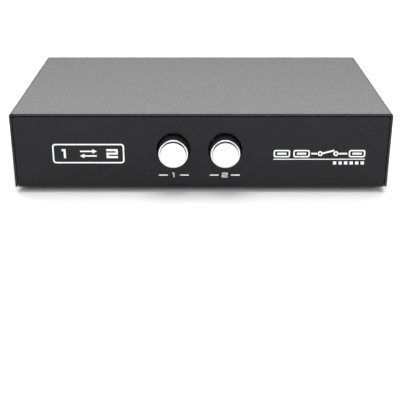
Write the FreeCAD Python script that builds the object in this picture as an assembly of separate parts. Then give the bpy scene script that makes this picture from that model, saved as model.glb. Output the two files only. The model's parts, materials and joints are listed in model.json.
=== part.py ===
"""Two-port manual selector switch in a black sheet-steel case.

Two push buttons on the front choose which of two host ports on the rear is
wired through to the single device port. Everything inside is mechanical: a
ganged, interlocked pair of four-pole slide switches on one circuit board.

Units are millimetres. +X is to the right and +Y is away from a person who
faces the front panel, and +Z is up. The origin is on the table, under the
middle of the whole object's box.
"""

import FreeCAD
import Part
import math
import os

Vector = FreeCAD.Vector

# Driving dimensions ----------------------------------------------------

CASE_WIDTH = 110.0
CASE_DEPTH = 62.0
CASE_HEIGHT = 23.3
FOOT_HEIGHT = 1.5
SHEET = 0.7
BEND_INSIDE = 0.4
BUTTON_REACH = 4.2
BUTTON_TRAVEL = 3.0
PORT_REACH = 0.2

SIDE_GAP = 0.2
TOP_GAP = 0.35
PANEL_SETBACK = 0.2

BUTTON_X = (-8.0, 7.0)
BUTTON_AXIS_HEIGHT = 12.2
HOST_PORT_X = (-31.5, 0.0)
DEVICE_PORT_X = 31.5

BOARD_TOP_HEIGHT = 6.0
BOARD_THICKNESS = 1.6
PIN_STICKOUT = 1.2

# Worked-out levels -----------------------------------------------------

CASE_Y = (BUTTON_REACH - PORT_REACH) / 2
FRONT = CASE_Y - CASE_DEPTH / 2
REAR = CASE_Y + CASE_DEPTH / 2
HALF_WIDTH = CASE_WIDTH / 2
BASE = FOOT_HEIGHT
FLOOR = BASE + SHEET
TOP = BASE + CASE_HEIGHT
PANEL_FRONT = FRONT + PANEL_SETBACK
PANEL_REAR = REAR - PANEL_SETBACK
BOARD_TOP = BASE + BOARD_TOP_HEIGHT
BOARD_BOTTOM = BOARD_TOP - BOARD_THICKNESS
PIN_END = BOARD_BOTTOM - PIN_STICKOUT
AXIS_Z = BASE + BUTTON_AXIS_HEIGHT
CHASSIS_HALF = HALF_WIDTH - SHEET - SIDE_GAP

X_AXIS = Vector(1, 0, 0)
Y_AXIS = Vector(0, 1, 0)
Z_AXIS = Vector(0, 0, 1)

# How far a cutting tool runs past the surface that it cuts.
PAST = 1.0

# A point (u, v) of a flat outline, lifted by w, in each of the three planes.
PLANES = {
    "xy": lambda u, v, w: Vector(u, v, w),
    "yz": lambda u, v, w: Vector(w, u, v),
    "xz": lambda u, v, w: Vector(u, w, v),
}


# Shape helpers ---------------------------------------------------------


def block(x, y, z):
    """A box from the low to the high value of each pair."""
    size = (x[1] - x[0], y[1] - y[0], z[1] - z[0])
    return Part.makeBox(*size, Vector(x[0], y[0], z[0]))


def around(centre, size):
    """The pair of values that lie half a size either side of a centre."""
    return (centre - size / 2, centre + size / 2)


def rod(radius, start, direction, length):
    return Part.makeCylinder(radius, length, start, direction)


def prism(plane, outline, low, high):
    """A closed outline in one plane, extruded from low to high."""
    place = PLANES[plane]
    corners = [place(u, v, low) for u, v in outline]
    face = Part.Face(Part.makePolygon(corners + corners[:1]))
    return face.extrude(place(0, 0, high - low))


def stroke(path, width):
    """The outline of a line of even width whose middle follows a path, mitred at corners."""
    legs = [(b[0] - a[0], b[1] - a[1]) for a, b in zip(path, path[1:])]
    normals = [(-dv / math.hypot(du, dv), du / math.hypot(du, dv)) for du, dv in legs]
    left, right = [], []
    for k, (u, v) in enumerate(path):
        before = normals[max(k - 1, 0)]
        after = normals[min(k, len(normals) - 1)]
        mitre = (before[0] + after[0], before[1] + after[1])
        stretch = width / (mitre[0] ** 2 + mitre[1] ** 2)
        left.append((u + mitre[0] * stretch, v + mitre[1] * stretch))
        right.append((u - mitre[0] * stretch, v - mitre[1] * stretch))
    return left + right[::-1]


def ribbon(plane, path, thickness, low, high):
    """A bent strip of even thickness whose middle follows a path."""
    return prism(plane, stroke(path, thickness), low, high)


def turned(profile, start, direction):
    """A solid of revolution: profile points are (radius, distance along direction)."""
    corners = [Vector(r, 0, s) for r, s in profile]
    face = Part.Face(Part.makePolygon(corners + corners[:1]))
    solid = face.revolve(Vector(0, 0, 0), Z_AXIS, 360)
    solid.Placement = FreeCAD.Placement(start, FreeCAD.Rotation(Z_AXIS, direction))
    return solid


def runs_along(edge, axis):
    """True for a straight edge parallel to an axis."""
    if not isinstance(edge.Curve, Part.Line):
        return False
    return near(abs(edge.tangentAt(edge.FirstParameter).dot(axis)), 1)


def near(one, other):
    return abs(one - other) < 0.01


def round_edges(shape, radius, chosen):
    return shape.makeFillet(radius, [e for e in shape.Edges if chosen(e)])


def round_block(x, y, z, axis, radius):
    """A box whose four edges along an axis are rounded."""
    return round_edges(block(x, y, z), radius, lambda e: runs_along(e, axis))


def joined(shapes):
    whole = shapes[0].multiFuse(shapes[1:]) if len(shapes) > 1 else shapes[0]
    return whole.removeSplitter()


def cut_by(shape, tools):
    return shape.cut(Part.makeCompound(tools)) if tools else shape


# Fasteners, feet and standoffs -----------------------------------------

SCREW_RADIUS = 1.45
SCREW_HOLE_RADIUS = 1.5
THREAD_PITCH = 0.5
THREAD_DEPTH = 0.25
HEAD_RADIUS = 2.7
HEAD_HEIGHT = 1.6
RECESS_WIDTH = 0.6
RECESS_LENGTH = 2.8
RECESS_DEPTH = 0.9
TIP_CHAMFER = 0.35
CROWN_HEIGHT = 0.88
CROWN_INSET = 1.3
CROWN_STEPS = 6
THREAD_RUNOUT = 0.8

COVER_SCREW_LENGTH = 5.0
COVER_SCREW_Z = BASE + 7.0
COVER_SCREW_Y = (CASE_Y - 19.0, CASE_Y + 19.0)

BOARD_SCREW_LENGTH = 5.0
BOARD_SCREW_X = (-43.0, 43.0)
BOARD_SCREW_Y = (CASE_Y - 12.0, CASE_Y + 12.0)
BOARD_SCREW_PLACES = [(x, y) for x in BOARD_SCREW_X for y in BOARD_SCREW_Y]

FOOT_RADIUS = 4.0
FOOT_SOLE_RADIUS = 3.2
FOOT_EDGE = ((3.55, 0.12), (3.75, 0.4))
FOOT_PLACES = [(x, CASE_Y + y) for x in (-45.0, 45.0) for y in (-22.0, 22.0)]


def pan_head_screw(seat, outward, length):
    """Pan-head cross-recess screw. seat is under the head, and outward leaves the hole."""
    thread_start = TIP_CHAMFER - length
    profile = [(0, -length), (SCREW_RADIUS - TIP_CHAMFER, -length), (SCREW_RADIUS, thread_start)]
    turns = int((length - THREAD_RUNOUT) / THREAD_PITCH)
    for k in range(turns):
        root = thread_start + THREAD_PITCH * (k + 1 / 2)
        profile.append((SCREW_RADIUS - THREAD_DEPTH, root))
        profile.append((SCREW_RADIUS, root + THREAD_PITCH / 2))
    rim = HEAD_HEIGHT - CROWN_HEIGHT
    profile += [(SCREW_RADIUS, 0), (HEAD_RADIUS, 0), (HEAD_RADIUS, rim)]
    for k in range(1, CROWN_STEPS + 1):
        angle = math.radians(90 * k / CROWN_STEPS)
        inset = CROWN_INSET * (1 - math.cos(angle))
        profile.append((HEAD_RADIUS - inset, rim + CROWN_HEIGHT * math.sin(angle)))
    profile.append((0, HEAD_HEIGHT))
    screw = turned(profile, seat, outward)
    side = Vector(outward.y, outward.z, outward.x)
    other = outward.cross(side)
    middle = seat + outward * (HEAD_HEIGHT - RECESS_DEPTH / 2)
    slots = []
    for long_way, short_way in ((side, other), (other, side)):
        size = (
            long_way * RECESS_LENGTH
            + short_way * RECESS_WIDTH
            + outward * RECESS_DEPTH
        )
        size = Vector(abs(size.x), abs(size.y), abs(size.z))
        slots.append(Part.makeBox(size.x, size.y, size.z, middle - size / 2))
    return cut_by(screw, slots)


def cover_screws():
    made = []
    for side in (-1, 1):
        for y in COVER_SCREW_Y:
            seat = Vector(side * HALF_WIDTH, y, COVER_SCREW_Z)
            made.append(pan_head_screw(seat, X_AXIS * side, COVER_SCREW_LENGTH))
    return Part.makeCompound(made)


def board_screws():
    seats = [Vector(x, y, BOARD_TOP) for x, y in BOARD_SCREW_PLACES]
    screws = [pan_head_screw(s, Z_AXIS, BOARD_SCREW_LENGTH) for s in seats]
    return Part.makeCompound(screws)


STANDOFF_RADIUS = 2.75
POST_ROUND = 0.25
SPIGOT_RADIUS = 2.1
SPIGOT_HOLE_RADIUS = 2.12


def board_standoffs():
    """Round standoffs, each swaged into the chassis floor by a spigot."""
    made = []
    for x, y in BOARD_SCREW_PLACES:
        post = rod(STANDOFF_RADIUS, Vector(x, y, FLOOR), Z_AXIS, BOARD_BOTTOM - FLOOR)
        post = round_edges(post, POST_ROUND, lambda e: near(e.CenterOfMass.z, BOARD_BOTTOM))
        spigot = rod(SPIGOT_RADIUS, Vector(x, y, BASE), Z_AXIS, SHEET)
        bore = rod(SCREW_HOLE_RADIUS, Vector(x, y, BASE), Z_AXIS, BOARD_BOTTOM - BASE)
        made.append(joined([post, spigot]).cut(bore))
    return Part.makeCompound(made)


def rubber_feet():
    profile = [(0, 0), (FOOT_SOLE_RADIUS, 0), *FOOT_EDGE]
    profile += [(FOOT_RADIUS, FOOT_HEIGHT), (0, FOOT_HEIGHT)]
    feet = [turned(profile, Vector(x, y, 0), Z_AXIS) for x, y in FOOT_PLACES]
    return Part.makeCompound(feet)


# Case ------------------------------------------------------------------

BUTTON_HOLE_RADIUS = 5.0
TAB_WIDTH = 10.0
TAB_HEIGHT = 11.0
TAB_RELIEF = 1.0
TAB_REACH = 4.0
TAB_ROUND = 2.0
PANEL_CORNER = 0.6
CUTOUT_ROUND = 0.3
COVER_BEND_INSIDE = 0.2
COVER_HOLE_RADIUS = 1.7
BOSS_RADIUS = 2.2
BOSS_LENGTH = 0.9
COVER_HEM = 0.5
EDGE_ROUND = 0.22

DEVICE_CUTOUT = (15.1, 7.8)
DEVICE_CUTOUT_Z = BASE + 9.5
HOST_CUTOUT = (12.5, 11.3)
HOST_CUTOUT_Z = BASE + 11.45


def side_tab(side, y):
    """One upturned tab of the chassis floor, with a tapped boss for a cover screw."""
    outer_x = side * CHASSIS_HALF
    inner_x = side * (CHASSIS_HALF - SHEET)
    root_x = side * (CHASSIS_HALF - TAB_REACH)
    span = around(y, TAB_WIDTH)
    outer = block(sorted((root_x, outer_x)), span, (BASE, BASE + TAB_HEIGHT))
    outer = round_edges(
        outer,
        BEND_INSIDE + SHEET,
        lambda e: runs_along(e, Y_AXIS)
        and near(e.CenterOfMass.x, outer_x)
        and near(e.CenterOfMass.z, BASE),
    )
    outer = round_edges(
        outer,
        TAB_ROUND,
        lambda e: runs_along(e, X_AXIS) and near(e.CenterOfMass.z, BASE + TAB_HEIGHT),
    )
    far_x = side * (CHASSIS_HALF - TAB_REACH - PAST)
    inner = block(sorted((far_x, inner_x)), around(y, TAB_WIDTH + 2 * PAST), (FLOOR, TOP))
    inner = round_edges(
        inner,
        BEND_INSIDE,
        lambda e: runs_along(e, Y_AXIS)
        and near(e.CenterOfMass.x, inner_x)
        and near(e.CenterOfMass.z, FLOOR),
    )
    centre = Vector(outer_x, y, COVER_SCREW_Z)
    boss = rod(BOSS_RADIUS, centre, X_AXIS * -side, SHEET + BOSS_LENGTH)
    bore = rod(SCREW_HOLE_RADIUS, centre, X_AXIS * -side, SHEET + BOSS_LENGTH)
    return joined([outer.cut(inner), boss]).cut(bore)


def base_chassis():
    """Floor, front panel and rear panel in one folded sheet, with four side tabs."""
    panel_top = TOP - SHEET - TOP_GAP
    width = (-CHASSIS_HALF, CHASSIS_HALF)
    outer = block(width, (PANEL_FRONT, PANEL_REAR), (BASE, panel_top))
    outer = round_edges(
        outer,
        BEND_INSIDE + SHEET,
        lambda e: runs_along(e, X_AXIS) and near(e.CenterOfMass.z, BASE),
    )
    wide = (-CHASSIS_HALF - PAST, CHASSIS_HALF + PAST)
    inner = block(wide, (PANEL_FRONT + SHEET, PANEL_REAR - SHEET), (FLOOR, panel_top + PAST))
    inner = round_edges(
        inner,
        BEND_INSIDE,
        lambda e: runs_along(e, X_AXIS) and near(e.CenterOfMass.z, FLOOR),
    )
    folded = outer.cut(inner)
    upper_corners = [
        e
        for e in folded.Edges
        if runs_along(e, Y_AXIS)
        and near(e.CenterOfMass.z, panel_top)
        and near(abs(e.CenterOfMass.x), CHASSIS_HALF)
    ]
    folded = folded.makeFillet(PANEL_CORNER, upper_corners)

    openings = []
    for side in (-1, 1):
        for y in COVER_SCREW_Y:
            reach = sorted((side * (CHASSIS_HALF - TAB_REACH), side * (CHASSIS_HALF + PAST)))
            relief = around(y, TAB_WIDTH + 2 * TAB_RELIEF)
            openings.append(block(reach, relief, (BASE - PAST, FLOOR + PAST)))
    for x in BUTTON_X:
        start = Vector(x, PANEL_FRONT - PAST, AXIS_Z)
        openings.append(rod(BUTTON_HOLE_RADIUS, start, Y_AXIS, SHEET + 2 * PAST))
    through = (PANEL_REAR - SHEET - PAST, PANEL_REAR + PAST)
    ports = [(DEVICE_PORT_X, DEVICE_CUTOUT, DEVICE_CUTOUT_Z)]
    ports += [(x, HOST_CUTOUT, HOST_CUTOUT_Z) for x in HOST_PORT_X]
    for x, (wide, tall), z in ports:
        hole = round_block(around(x, wide), through, around(z, tall), Y_AXIS, CUTOUT_ROUND)
        openings.append(hole)
    for x, y in BOARD_SCREW_PLACES:
        start = Vector(x, y, BASE - PAST)
        openings.append(rod(SPIGOT_HOLE_RADIUS, start, Z_AXIS, SHEET + 2 * PAST))
    tabs = [side_tab(side, y) for side in (-1, 1) for y in COVER_SCREW_Y]
    return joined([cut_by(folded, openings)] + tabs)


def top_cover():
    """Top and both sides in one folded sheet, slid over the chassis."""
    bottom = BASE + COVER_HEM
    outer = block((-HALF_WIDTH, HALF_WIDTH), (FRONT, REAR), (bottom, TOP))
    outer = round_edges(
        outer,
        SHEET + COVER_BEND_INSIDE,
        lambda e: runs_along(e, Y_AXIS) and near(e.CenterOfMass.z, TOP),
    )
    inner_half = HALF_WIDTH - SHEET
    inner = block(
        (-inner_half, inner_half),
        (FRONT - PAST, REAR + PAST),
        (bottom - PAST, TOP - SHEET),
    )
    inner = round_edges(
        inner,
        COVER_BEND_INSIDE,
        lambda e: runs_along(e, Y_AXIS) and near(e.CenterOfMass.z, TOP - SHEET),
    )
    shell = outer.cut(inner)

    def on_outer_rim(edge):
        at = edge.CenterOfMass
        on_end = near(at.y, FRONT) or near(at.y, REAR)
        on_skin = abs(at.x) > HALF_WIDTH - SHEET / 2 or at.z > TOP - SHEET / 2
        return on_end and on_skin

    shell = round_edges(shell, EDGE_ROUND, on_outer_rim)
    holes = [
        rod(COVER_HOLE_RADIUS, Vector(side * HALF_WIDTH, y, COVER_SCREW_Z), X_AXIS * -side, SHEET)
        for side in (-1, 1)
        for y in COVER_SCREW_Y
    ]
    return cut_by(shell, holes)


# Device port: the single flat socket -----------------------------------

FOIL = 0.3
FINGER_SHEET = 0.27
DEVICE_INNER = (12.5, 5.12)
DEVICE_LENGTH = 14.0
DEVICE_Z = BASE + 9.5
LIP_BEND = 0.35
LIP_TURN = 68.0
LIP_TAIL = 0.68
LIP_SPANS = (11.0, 3.7)
TUBE_ROUND = 0.6
TONGUE_SIZE = (11.0, 1.84)
TONGUE_SETBACK = 1.1
TONGUE_SIDE_CHAMFER = 0.4
TONGUE_NOSE_CHAMFER = 0.5
DEVICE_CONTACT_X = (-3.5, -1.0, 1.0, 3.5)
DEVICE_FINGER_X = 2.8
FINGER_DIP_UPPER = 0.3
FINGER_DIP_LOWER = 0.62
FINGER_WIDTH = 1.7
FINGER_SLIT_WIDTH = 2.3
FINGER_SLIT_LENGTH = 6.7
TONGUE_DROP = 0.45
DEVICE_LEG_WIDTH = 1.8
CONTACT_WIDTH = 0.8
CONTACT_SHEET = 0.25
CONTACT_LEVEL = 0.12
CHANNEL_WIDTH = 0.9
CHANNEL_DEPTH = 0.45
CORE_GAP = 0.02
TONGUE_LIP = 0.8
DEVICE_FACE = REAR
DEVICE_TUBE_END = DEVICE_FACE - 0.86
DEVICE_BACK = DEVICE_FACE - DEVICE_LENGTH
DEVICE_CORE_FRONT = DEVICE_BACK + 5.0


def flared_lip(half, wall, span):
    """A lip that curls outward from a wall whose inner face is half away from the axis.

    It is drawn in the YZ plane for the upper wall; wall is the sheet thickness
    and span its width along X.
    """
    turn = math.radians(LIP_TURN)
    centre_v = half + wall + LIP_BEND

    def at(radius, angle):
        u = DEVICE_TUBE_END + radius * math.sin(angle)
        return Vector(0, u, centre_v - radius * math.cos(angle))

    tail = Vector(0, math.cos(turn), math.sin(turn)) * LIP_TAIL
    outside, inside = LIP_BEND + wall, LIP_BEND
    edges = [
        Part.Arc(at(outside, 0), at(outside, turn / 2), at(outside, turn)).toShape(),
        Part.makeLine(at(outside, turn), at(outside, turn) + tail),
        Part.makeLine(at(outside, turn) + tail, at(inside, turn) + tail),
        Part.makeLine(at(inside, turn) + tail, at(inside, turn)),
        Part.Arc(at(inside, turn), at(inside, turn / 2), at(inside, 0)).toShape(),
        Part.makeLine(at(inside, 0), at(outside, 0)),
    ]
    face = Part.Face(Part.Wire(edges))
    face.translate(Vector(-span / 2, 0, 0))
    return face.extrude(Vector(span, 0, 0))


def device_finger(side_x, up):
    """One spring finger of the flat socket: a slit strip bent into the mouth."""
    wall_z = DEVICE_Z + up * (DEVICE_INNER[1] / 2 + FOIL / 2)
    root = DEVICE_TUBE_END - 1.6
    crest_z = wall_z - up * (FINGER_DIP_UPPER if up > 0 else FINGER_DIP_LOWER)
    path = [
        (root + 0.3, wall_z),
        (root - 0.5, wall_z),
        (root - 4.6, crest_z),
        (root - 5.3, crest_z),
        (root - 6.3, (crest_z + wall_z) / 2),
    ]
    centre = DEVICE_PORT_X + side_x
    strip = ribbon("yz", path, FINGER_SHEET, *around(centre, FINGER_WIDTH))
    slit = block(
        around(centre, FINGER_SLIT_WIDTH),
        (root - FINGER_SLIT_LENGTH, root),
        around(wall_z, FOIL * 3),
    )
    return strip, slit


def device_port_shell():
    wide, tall = DEVICE_INNER
    x = around(DEVICE_PORT_X, wide + 2 * FOIL)
    z = around(DEVICE_Z, tall + 2 * FOIL)
    tube = round_block(x, (DEVICE_BACK, DEVICE_TUBE_END), z, Y_AXIS, TUBE_ROUND + FOIL)
    bore = round_block(
        around(DEVICE_PORT_X, wide),
        (DEVICE_BACK - PAST, DEVICE_TUBE_END + PAST),
        around(DEVICE_Z, tall),
        Y_AXIS,
        TUBE_ROUND,
    )
    tube = tube.cut(bore)
    centre = Vector(DEVICE_PORT_X, 0, DEVICE_Z)
    lips = []
    for quarter in range(4):
        lip = flared_lip((tall, wide)[quarter % 2] / 2, FOIL, LIP_SPANS[quarter % 2])
        lip.rotate(Vector(0, 0, 0), Y_AXIS, 90 * quarter)
        lip.translate(centre)
        lips.append(lip)
    fingers, slits = [], []
    for side_x in (-DEVICE_FINGER_X, DEVICE_FINGER_X):
        for up in (-1, 1):
            strip, slit = device_finger(side_x, up)
            fingers.append(strip)
            slits.append(slit)
    legs = []
    for side in (-1, 1):
        leg_x = around(DEVICE_PORT_X + side * (wide / 2 + FOIL / 2), FOIL)
        leg_y = around(DEVICE_LEG_Y, DEVICE_LEG_WIDTH)
        legs.append(block(leg_x, leg_y, (PIN_END, DEVICE_Z)))
    return joined([cut_by(tube, slits)] + fingers + lips + legs)


DEVICE_LEG_Y = DEVICE_BACK + 8.6
DEVICE_PIN_Y = DEVICE_BACK - 0.6


def device_port_contacts():
    """Four springs on the underside of the tongue, each with a tail through the board."""
    under = DEVICE_Z + DEVICE_INNER[1] / 2 - TONGUE_DROP - TONGUE_SIZE[1]
    tongue_front = DEVICE_FACE - TONGUE_SETBACK
    made = []
    for x in DEVICE_CONTACT_X:
        path = [
            (tongue_front - 1.0, under + 0.28),
            (tongue_front - 1.8, under - 0.1),
            (tongue_front - 4.8, under - 0.22),
            (DEVICE_CORE_FRONT + 0.6, under + CONTACT_LEVEL),
            (DEVICE_PIN_Y, under + CONTACT_LEVEL),
            (DEVICE_PIN_Y, PIN_END),
        ]
        span = around(DEVICE_PORT_X + x, CONTACT_WIDTH)
        made.append(ribbon("yz", path, CONTACT_SHEET, *span))
    return Part.makeCompound(made)


def device_port_core():
    """Moulded insulator: rear block and tongue, cut to hold the contacts."""
    wide, tall = DEVICE_INNER
    top = DEVICE_Z + tall / 2 - TONGUE_DROP
    tongue_x = around(DEVICE_PORT_X, TONGUE_SIZE[0])
    tongue_y = (DEVICE_BACK, DEVICE_FACE - TONGUE_SETBACK)
    tongue = block(tongue_x, tongue_y, (top - TONGUE_SIZE[1], top))
    lower_sides = [
        e
        for e in tongue.Edges
        if runs_along(e, Y_AXIS) and near(e.CenterOfMass.z, top - TONGUE_SIZE[1])
    ]
    tongue = tongue.makeChamfer(TONGUE_SIDE_CHAMFER, lower_sides)
    nose = [
        e
        for e in tongue.Edges
        if near(e.CenterOfMass.y, tongue_y[1]) and near(e.CenterOfMass.z, top)
    ]
    tongue = tongue.makeChamfer(TONGUE_NOSE_CHAMFER, nose)
    rear = round_block(
        around(DEVICE_PORT_X, wide - 2 * CORE_GAP),
        (DEVICE_BACK, DEVICE_CORE_FRONT),
        around(DEVICE_Z, tall - 2 * CORE_GAP),
        Y_AXIS,
        TUBE_ROUND - CORE_GAP,
    )
    channels = []
    for x in DEVICE_CONTACT_X:
        channel_y = (DEVICE_BACK - PAST, DEVICE_FACE - TONGUE_SETBACK - TONGUE_LIP)
        under = top - TONGUE_SIZE[1]
        channel = around(DEVICE_PORT_X + x, CHANNEL_WIDTH)
        channels.append(block(channel, channel_y, (under - CHANNEL_DEPTH, under + CHANNEL_DEPTH)))
    return cut_by(joined([tongue, rear]), channels)


# Host ports: the two square sockets ------------------------------------

HOST_WIDTH = 12.04
HOST_HEIGHT = 10.8
HOST_LENGTH = 16.2
HOST_MOUTH = (8.7, 8.3)
HOST_MOUTH_CHAMFER = 1.9
HOST_TONGUE = (5.6, 3.18)
HOST_TONGUE_SETBACK = 1.3
HOST_CAVITY_DEPTH = 11.8
HOST_CORE_DEPTH = 13.4
HOST_CONTACT_X = 1.25
HOST_FACE = REAR + PORT_REACH
HOST_BACK = HOST_FACE - HOST_LENGTH
HOST_CORE_BACK = HOST_FACE - HOST_CORE_DEPTH
HOST_MIDDLE = BOARD_TOP + HOST_HEIGHT / 2
HOST_LEG_Y = HOST_FACE - 9.6
HOST_PIN_Y = (HOST_CORE_BACK - 0.35, HOST_CORE_BACK - 2.35)
SHELL_ROUND = 0.35
SHELL_LOW_CHAMFER = 0.8
SHELL_FACE_ROUND = 0.18
SEAM_DROP = (0.55, 0.47)
SEAM_DEPTH = 0.2
DIMPLE_RADIUS = 0.28
DIMPLE_DEPTH = 0.2
SILL_SHEET = 0.2
HOST_SPRING_WIDTH = 1.1
HOST_LEG_WIDTH = 2.0
HOST_CONTACT_WIDTH = 0.7
HOST_CONTACT_SHEET = 0.28
HOST_CHANNEL = (0.8, 0.45)
HOST_NOSE_CHAMFER = 0.25
WELL_SLOT_WIDTH = 1.2
WELL_SLOT_LENGTH = 9.0


def host_mouth(centre_x, grow, y):
    """The six-sided mouth of a square socket, grown by a margin, as a solid."""
    half_w = HOST_MOUTH[0] / 2 + grow
    half_h = HOST_MOUTH[1] / 2 + grow
    corner = HOST_MOUTH_CHAMFER
    outline = [
        (centre_x - half_w, HOST_MIDDLE - half_h),
        (centre_x + half_w, HOST_MIDDLE - half_h),
        (centre_x + half_w, HOST_MIDDLE + half_h - corner),
        (centre_x + half_w - corner, HOST_MIDDLE + half_h),
        (centre_x - half_w + corner, HOST_MIDDLE + half_h),
        (centre_x - half_w, HOST_MIDDLE + half_h - corner),
    ]
    return prism("xz", outline, *y)


def host_port_shell(centre_x):
    """Folded plated shell: front face with the mouth, top, sides, back flap and legs."""
    x = around(centre_x, HOST_WIDTH)
    bottom, top = BOARD_TOP, BOARD_TOP + HOST_HEIGHT
    outer = block(x, (HOST_BACK, HOST_FACE), (bottom, top))
    outer = round_edges(
        outer,
        SHELL_ROUND,
        lambda e: runs_along(e, Y_AXIS) and near(e.CenterOfMass.z, top),
    )
    low_corners = [
        e
        for e in outer.Edges
        if runs_along(e, Y_AXIS) and near(e.CenterOfMass.z, bottom)
    ]
    outer = outer.makeChamfer(SHELL_LOW_CHAMFER, low_corners)
    outer = round_edges(
        outer,
        SHELL_FACE_ROUND,
        lambda e: near(e.CenterOfMass.y, HOST_FACE),
    )
    hollow = block(
        (x[0] + FOIL, x[1] - FOIL),
        (HOST_BACK + FOIL, HOST_FACE - FOIL),
        (bottom - PAST, top - FOIL),
    )
    shell = outer.cut(hollow)
    face_cut = (HOST_FACE - 2 * FOIL, HOST_FACE + PAST)
    cuts = [host_mouth(centre_x, 0.0, face_cut)]
    seam_z = (top - SEAM_DROP[0], top - SEAM_DROP[1])
    wide = (x[0] - PAST, x[1] + PAST)
    cuts.append(block(wide, (HOST_FACE - SEAM_DEPTH, HOST_FACE + PAST), seam_z))
    for side in (-1, 1):
        edge = centre_x + side * (HOST_MOUTH[0] / 2)
        notch = sorted((edge - side * 0.2, edge + side * 0.5))
        notch_z = HOST_MIDDLE + 1.15
        cuts.append(block(notch, face_cut, around(notch_z, 0.4)))
        dimple_at = Vector(edge + side * 0.35, HOST_FACE - DIMPLE_DEPTH, HOST_MIDDLE - 2.6)
        cuts.append(rod(DIMPLE_RADIUS, dimple_at, Y_AXIS, 2 * DIMPLE_DEPTH))
        flap_x = centre_x + side * (HOST_WIDTH / 2 - FOIL - 0.1)
        window = sorted((flap_x, flap_x + side * PAST))
        cuts.append(block(window, around(HOST_FACE - 5.5, 5.0), around(HOST_MIDDLE, 1.5)))
    cuts.append(block(wide, (HOST_BACK - PAST, HOST_CORE_BACK), (bottom - PAST, bottom + 3)))
    shell = cut_by(shell, cuts)
    sill_z = HOST_MIDDLE - HOST_MOUTH[1] / 2
    sill_path = [
        (HOST_FACE - 0.12, sill_z + 0.02),
        (HOST_FACE - 0.3, sill_z + 0.3),
        (HOST_FACE - 0.8, sill_z + 0.36),
    ]
    sill = ribbon("yz", sill_path, SILL_SHEET, *around(centre_x, HOST_MOUTH[0]))
    springs = []
    for side in (-1, 1):
        wall = centre_x + side * (HOST_WIDTH / 2 - FOIL / 2)
        path = [
            (wall, HOST_FACE - 2.8),
            (wall, HOST_FACE - 3.6),
            (wall - side * 0.75, HOST_FACE - 6.6),
            (wall - side * 0.35, HOST_FACE - 7.6),
        ]
        level = around(HOST_MIDDLE, HOST_SPRING_WIDTH)
        springs.append(ribbon("xy", path, FINGER_SHEET, *level))
    legs = []
    for side in (-1, 1):
        leg_x = around(centre_x + side * (HOST_WIDTH / 2 - FOIL / 2), FOIL)
        leg_y = around(HOST_LEG_Y, HOST_LEG_WIDTH)
        legs.append(block(leg_x, leg_y, (PIN_END, HOST_MIDDLE)))
    return joined([shell, sill] + springs + legs)


def host_port_contacts(centre_x):
    """Two contacts on top of the tongue and two under it, with tails through the board."""
    made = []
    tongue_front = HOST_FACE - HOST_TONGUE_SETBACK
    for up, pin_y in zip((-1, 1), HOST_PIN_Y):
        level = HOST_MIDDLE + up * (HOST_TONGUE[1] / 2 - 0.1)
        for side in (-1, 1):
            path = [
                (tongue_front - 0.9, level),
                (pin_y, level),
                (pin_y, PIN_END),
            ]
            centre = centre_x + side * HOST_CONTACT_X
            span = around(centre, HOST_CONTACT_WIDTH)
            made.append(ribbon("yz", path, HOST_CONTACT_SHEET, *span))
    return Part.makeCompound(made)


def host_port_well(centre_x):
    """Dark moulded sleeve that lines the shell and forms the six-sided well."""
    x = around(centre_x, HOST_WIDTH - 2 * FOIL - 2 * CORE_GAP)
    y = (HOST_CORE_BACK, HOST_FACE - FOIL - CORE_GAP)
    z = (BOARD_TOP + CORE_GAP, BOARD_TOP + HOST_HEIGHT - FOIL - CORE_GAP)
    cuts = [host_mouth(centre_x, 0.0, (y[0] - PAST, y[1] + PAST))]
    ceiling = HOST_MIDDLE + HOST_MOUTH[1] / 2
    for side in (-1, 1):
        slot = around(centre_x + side * HOST_CONTACT_X, WELL_SLOT_WIDTH)
        slot_z = (ceiling - PAST, ceiling + 0.75)
        cuts.append(block(slot, (HOST_FACE - WELL_SLOT_LENGTH, HOST_FACE), slot_z))
        relief = sorted((centre_x + side * 4.1, centre_x + side * 7.0))
        cuts.append(block(relief, around(HOST_FACE - 5.3, 6.4), around(HOST_MIDDLE, 1.6)))
    return cut_by(block(x, y, z), cuts)


def host_port_tongue(centre_x):
    """White moulded carrier: a plug in the back of the well, and the contact tongue."""
    plug_y = (HOST_CORE_BACK, HOST_FACE - HOST_CAVITY_DEPTH)
    plug = host_mouth(centre_x, -CORE_GAP, plug_y)
    tongue_y = (plug_y[1] - 0.5, HOST_FACE - HOST_TONGUE_SETBACK)
    tongue = block(
        around(centre_x, HOST_TONGUE[0]),
        tongue_y,
        around(HOST_MIDDLE, HOST_TONGUE[1]),
    )
    nose = [e for e in tongue.Edges if near(e.CenterOfMass.y, tongue_y[1])]
    tongue = tongue.makeChamfer(HOST_NOSE_CHAMFER, nose)
    channels = []
    for side in (-1, 1):
        for up in (-1, 1):
            level = HOST_MIDDLE + up * (HOST_TONGUE[1] / 2 - 0.05)
            channel = around(centre_x + side * HOST_CONTACT_X, HOST_CHANNEL[0])
            channel_y = (HOST_CORE_BACK - PAST, HOST_FACE - HOST_TONGUE_SETBACK - TONGUE_LIP)
            channels.append(block(channel, channel_y, around(level, HOST_CHANNEL[1])))
    return cut_by(joined([plug, tongue]), channels)


# Ganged switch ---------------------------------------------------------

BRACKET_FRONT = FRONT + 12.0
BRACKET_SHEET = 0.8
BRACKET_BACK = BRACKET_FRONT + BRACKET_SHEET
PLATE_FRONT = BRACKET_BACK + 0.3
PLATE_SHEET = 0.6
PLATE_BACK = PLATE_FRONT + PLATE_SHEET
HOUSING_FRONT = PLATE_BACK + 0.3
HOUSING_LENGTH = 22.0
HOUSING_BACK = HOUSING_FRONT + HOUSING_LENGTH
HOUSING_WIDTH = 9.0
HOUSING_TOP = BOARD_TOP + 10.3
LATCH_STROKE = BUTTON_TRAVEL - 0.6
PLATE_TRAVEL = 1.2

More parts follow.
